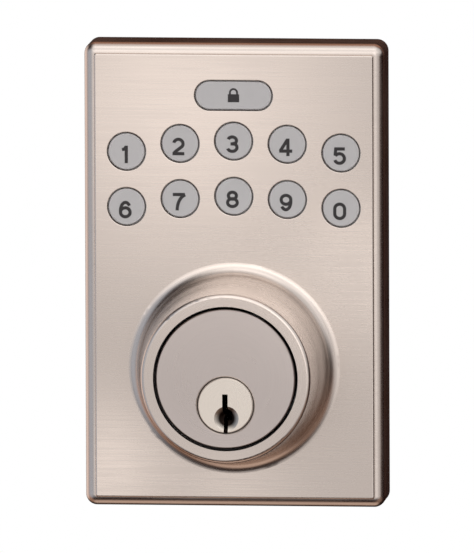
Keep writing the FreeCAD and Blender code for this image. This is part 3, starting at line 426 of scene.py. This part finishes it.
# Sizes are in mm and angles in degrees. A pair is a corner. Six numbers are an arc: its centre, its radii
# across and up, and its first and last angle.
BOWL_SIX = [(0, -0.72, 1.27, 1.18, 0, 360)]
TAIL_SIX = [(0.06, -0.35, 1.33, 2.25, 186, 38)]
DIGIT_STROKES = {
    "1": [[(0.32, -2.32), (0.32, 2.32)], [(-0.82, 1.25), (-0.2, 1.4), (0.3, 2.05)]],
    "2": [[(-0.05, 0.72, 1.22, 1.18, 168, -38), (-1.2, -1.62)], [(-1.62, -1.9), (1.5, -1.9)]],
    "3": [
        [(0, 0.96, 1.12, 0.95, 160, -85)],
        [(0, -0.86, 1.26, 1.04, 88, -162)],
        [(-0.45, 0.06), (0.35, 0.06)],
    ],
    "4": [[(0.55, -2.32), (0.55, 2.32)], [(-1.75, -1.0), (1.68, -1.0)], [(-1.5, -1.0), (0.42, 2.02)]],
    "5": [[(1.42, 1.9), (-0.98, 1.9), (-1.17, 0.12)], [(-0.02, -0.64, 1.3, 1.26, 148, -160)]],
    "6": [BOWL_SIX, TAIL_SIX],
    "7": [[(-1.6, 1.9), (1.62, 1.9)], [(2.35, -2.32, 2.8, 4.25, 180, 103)]],
    "8": [[(0, 0.98, 1.06, 0.92, 0, 360)], [(0, -0.86, 1.28, 1.04, 0, 360)]],
    "0": [[(0, 0.62, 1.3, 1.28, 0, 180), (0, -0.62, 1.3, 1.28, 180, 360)]],
}
# Which strokes end where they began; a digit left out has none.
LOOPS = {"6": (True, False), "8": (True, True), "0": (True,)}


def trace(stroke):
    """The points of a stroke's middle line."""
    points = []
    for piece in stroke:
        if len(piece) == 2:
            points.append(Vector(piece))
            continue
        across, up, wide, tall, start, end = piece
        steps = max(4, round(abs(end - start) / ARC_STEP))
        for step in range(steps + 1):
            angle = math.radians(start + (end - start) * step / steps)
            points.append(Vector((across + wide * math.cos(angle), up + tall * math.sin(angle))))
    return [point for index, point in enumerate(points) if (point - points[index - 1]).length > SAME_POINT]


def sweep(stroke, closed, width, centre, front, back):
    """A flat ribbon solid along a stroke, as an object; centre is (across, up), and front and back are y."""
    points = trace(stroke)
    form = bmesh.new()
    rings = []
    for index, point in enumerate(points):
        steps = []
        if closed or index:
            steps.append((point - points[index - 1]).normalized())
        if closed or index < len(points) - 1:
            steps.append((points[(index + 1) % len(points)] - point).normalized())
        along = sum(steps, Vector((0, 0))).normalized()
        side = Vector((-along.y, along.x))
        reach = width / 2 / max(1 / LONGEST_MITRE, side.dot(Vector((-steps[0].y, steps[0].x))))
        ring = []
        for sign, depth in ((1, front), (1, back), (-1, back), (-1, front)):
            spot = point + side * reach * sign
            ring.append(form.verts.new(((centre[0] + spot.x) * MM, depth, (centre[1] + spot.y) * MM)))
        rings.append(ring)
    for index in range(len(rings) if closed else len(rings) - 1):
        here, there = rings[index], rings[(index + 1) % len(rings)]
        for corner in range(4):
            after = (corner + 1) % 4
            form.faces.new((here[corner], here[after], there[after], there[corner]))
    if not closed:
        form.faces.new(rings[0])
        form.faces.new(rings[-1])
    bmesh.ops.recalc_face_normals(form, faces=form.faces)
    mesh = bpy.data.meshes.new("stroke")
    form.to_mesh(mesh)
    form.free()
    ribbon = bpy.data.objects.new("stroke", mesh)
    bpy.context.collection.objects.link(ribbon)
    return ribbon


def unite(name, solids):
    """Joins overlapping solids into one clean mesh under a new name."""
    whole = solids[0]
    for other in solids[1:]:
        join = whole.modifiers.new("join", "BOOLEAN")
        join.operation = "UNION"
        join.solver = "EXACT"
        join.object = other
    bpy.context.view_layer.update()
    mesh = bpy.data.meshes.new_from_object(whole.evaluated_get(bpy.context.evaluated_depsgraph_get()))
    for solid in solids:
        bpy.data.objects.remove(solid)
    mesh.name = name
    made = bpy.data.objects.new(name, mesh)
    bpy.context.collection.objects.link(made)
    return made


ink = moulded("dark_grey_ink", "#2B2729", 0.5, grit=0.25, depth=0.002 * MM, mottle=0.7)
for digit in DIGITS:
    cap = f"key_{digit}"
    low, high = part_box(cap)
    centre = [(low[axis] + high[axis]) / 2 / MM + shift for axis, shift in zip((0, 2), DIGIT_OFFSET)]
    if digit == "9":
        strokes, loops = DIGIT_STROKES["6"], LOOPS["6"]
    else:
        strokes = DIGIT_STROKES[digit]
        loops = LOOPS.get(digit, [False] * len(strokes))
    front, back = low.y - INK_PROUD * MM, low.y + INK_SUNK * MM
    ribbons = [sweep(*stroke, STROKE_WIDTH, centre, front, back) for stroke in zip(strokes, loops)]
    print_mark = unite(f"digit_{digit}", ribbons)
    if digit == "9":
        for vertex in print_mark.data.vertices:
            vertex.co.x = 2 * centre[0] * MM - vertex.co.x
            vertex.co.z = 2 * centre[1] * MM - vertex.co.z
    print_mark.data.materials.append(ink)
    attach(print_mark, f"{cap}_cap")

# ---- Lock sign: a plain padlock outline, printed on the oval key in the same ink as the digits. It says that
# this key locks the door.
SIGN_BODY, SIGN_BODY_HEIGHT = [(-1.5, -0.72), (1.5, -0.72)], 2.1
SHACKLE, SHACKLE_WIDTH = [(-0.95, 0.1), (0, 0.75, 0.95, 0.95, 180, 0), (0.95, 0.1)], 0.5
low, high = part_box("lock_key")
centre = [(low.x + high.x) / 2 / MM, (low.z + high.z) / 2 / MM]
front, back = low.y - INK_PROUD * MM, low.y + INK_SUNK * MM
lock_body = sweep(SIGN_BODY, False, SIGN_BODY_HEIGHT, centre, front, back)
shackle = sweep(SHACKLE, False, SHACKLE_WIDTH, centre, front, back)
lock_sign = unite("lock_sign", [lock_body, shackle])
lock_sign.data.materials.append(ink)
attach(lock_sign, "lock_key_cap")

# ---- Light guide: a milky acrylic moulding behind the panel. It passes the lamps' light on to the edges of
# the caps.
paint(moulded("milky_acrylic", "#E3E5E1", 0.3, grit=0.4, milkiness=0.5), "light_guide")

# ---- Keypad mat: grey silicone rubber, moulded as one sheet with a hollow boot for each key. It is matt and
# soft.
silicone = moulded("grey_silicone", "#8F9296", 0.62, grit=0.25, depth=0.008 * MM, milkiness=0.15)
paint(silicone, "keypad_membrane")

# ---- Circuit board: glass-epoxy laminate under glossy green solder resist. The copper tracks show through as
# lighter lines, and bare tinned pads dot them.
PAD_SPACING = 3.2
PAD_EDGE, PAD_INSIDE = 0.13, 0.11
board_paint, tree, output = new_material("green_solder_resist")
turn = {"Vector": object_place(tree), "Rotation": (math.pi / 2, 0, 0)}
face = add_node(tree, "ShaderNodeMapping", turn).outputs[0]
tracks = add_node(
    tree,
    "ShaderNodeTexBrick",
    {
        "Vector": face,
        "Color1": linear("#0D5227"),
        "Color2": linear("#0F5C2D"),
        "Mortar": linear("#2E8A4A"),
        "Scale": every(1.0),
        "Mortar Size": 0.12,
        "Brick Width": 6.5,
        "Row Height": 1.6,
    },
)
dots = {"Vector": face, "Scale": every(PAD_SPACING)}
spots = add_node(tree, "ShaderNodeTexVoronoi", dots, voronoi_dimensions="2D")
pads = graded(tree, spots.outputs["Distance"], PAD_EDGE, PAD_INSIDE)
look = {
    "Base Color": blended(tree, pads, tracks.outputs["Color"], linear("#D4D2CC")),
    "Metallic": pads,
    "Roughness": 0.28,
    "Normal": bumped(tree, tracks.outputs["Fac"], 0.02 * MM),
}
paint(surfaced(board_paint, tree, output, look), "circuit_board")

# ---- Board parts: white lamps with a yellow window to the front, black epoxy chips, a moulded sounder, and a
# natural nylon header with tinned pins.
WINDOW_EDGE, WINDOW_FULL = -0.6, -0.9
lamp_body, tree, output = new_material("lamp_ceramic_and_phosphor")
normal = add_node(tree, "ShaderNodeNewGeometry").outputs["Normal"]
window = graded(tree, axis_part(tree, normal, "Y"), WINDOW_EDGE, WINDOW_FULL)
tint = blended(tree, window, linear("#F1EFE8"), linear("#E6C95F"))
paint(surfaced(lamp_body, tree, output, {"Base Color": tint, "Roughness": 0.25}), "backlight_leds")
paint(moulded("black_epoxy", "#19191B", 0.55, grit=0.2, mottle=0.8), "board_chips")
paint(moulded("black_moulded_can", "#121213", 0.42, grit=0.5, mottle=0.8), "buzzer")
paint(moulded("natural_nylon", "#E6DCC4", 0.4, grit=0.3, milkiness=0.3), "cable_header")


def plain_metal(name, colour, roughness, direction, depth=0.002 * MM):
    """A plated or bare metal with straight marks along a direction."""
    material, tree, output = new_material(name)
    grain = brushed(tree, object_place(tree), direction)
    return blurred_metal(material, tree, output, grain, colour, roughness, depth)


paint(plain_metal("bright_tin", "#D9D7D2", 0.22, direction=(0, 0, 1)), "header_pins")

# ---- Back plate: pressed steel, zinc plated and clear passivated, so it is pale grey with a faint blue and
# yellow bloom. The threaded posts and the drive blade have the same plating over drawn steel.
BLOOM_SIZE = 9.0
BLOOM_BLUE, BLOOM_GREY, BLOOM_YELLOW = "#B4BCC6", "#BEBFC0", "#C8C4B2"


def zinc_plated(name, direction, roughness):
    """Zinc plating with its faint coloured bloom, over metal with marks along a direction."""
    material, tree, output = new_material(name)
    place = object_place(tree)
    grain = brushed(tree, place, direction)
    ramp = add_node(tree, "ShaderNodeValToRGB", {"Fac": noise(tree, place, every(BLOOM_SIZE), 2.0)})
    stops = ramp.color_ramp.elements
    stops[0].position, stops[0].color = NOISE_LOW, linear(BLOOM_BLUE)
    stops[1].position, stops[1].color = NOISE_HIGH, linear(BLOOM_YELLOW)
    stops.new(0.5).color = linear(BLOOM_GREY)
    dull, bright = roughness + GLOSS_SWING, roughness - GLOSS_SWING
    look = {
        "Base Color": ramp.outputs["Color"],
        "Metallic": 1.0,
        "Roughness": graded(tree, grain, NOISE_LOW, NOISE_HIGH, bright, dull),
        "Normal": bumped(tree, grain, 0.003 * MM),
    }
    return surfaced(material, tree, output, look)


paint(zinc_plated("zinc_plated_sheet", (1, 0, 0), 0.42), "back_plate")
paint(zinc_plated("zinc_plated_drawn_steel", (0, 1, 0), 0.34), "mounting_posts", "torque_blade")

# ---- Screws: steel, cold headed, bright zinc plated. They are shinier than the plate and a little bluer.
paint(
    plain_metal("bright_zinc_screws", "#C3C7CE", 0.26, direction=(0, 1, 0)),
    "board_screws",
    "case_screws",
    "cylinder_screws",
    "tail_screws",
)

# ---- Seals: a black closed-cell foam gasket, cut from sheet and glued on, and a grommet moulded from black
# rubber.
CELL_SIZE = 0.7
foam, tree, output = new_material("closed_cell_foam")
bubbles = {"Vector": object_place(tree), "Scale": every(CELL_SIZE)}
cells = add_node(tree, "ShaderNodeTexVoronoi", bubbles, feature="SMOOTH_F1").outputs["Distance"]
look = {
    "Base Color": blended(tree, cells, linear("#131315"), linear("#2C2C30")),
    "Roughness": 0.9,
    "Normal": bumped(tree, cells, 0.12 * MM, strength=0.8),
    "Sheen Weight": 0.15,
}
paint(surfaced(foam, tree, output, look), "gasket")
paint(moulded("black_rubber", "#17171A", 0.6, grit=0.4, depth=0.01 * MM, mottle=0.75), "cable_grommet")

# ---- Pins and their cover: brass, turned or sheared from strip, unplated and slightly dulled.
brass = plain_metal("turned_brass", "#C79F52", 0.28, direction=(1, 0, 0))
paint(brass, "key_pins", "driver_pins", "pin_cover")

# ---- Springs and clip: spring steel, drawn or stamped, left with its grey oiled skin.
paint(plain_metal("spring_steel", "#96979B", 0.3, direction=(0, 0, 1)), "pin_springs", "plug_clip")

# ---- Guard sleeve: hardened steel tube, blacked and oiled, which spins in the boss and defeats a wrench.
blacked_steel = plain_metal("blacked_hard_steel", "#3B393A", 0.4, direction=(0, 1, 0), depth=0.004 * MM)
paint(blacked_steel, "guard_sleeve")
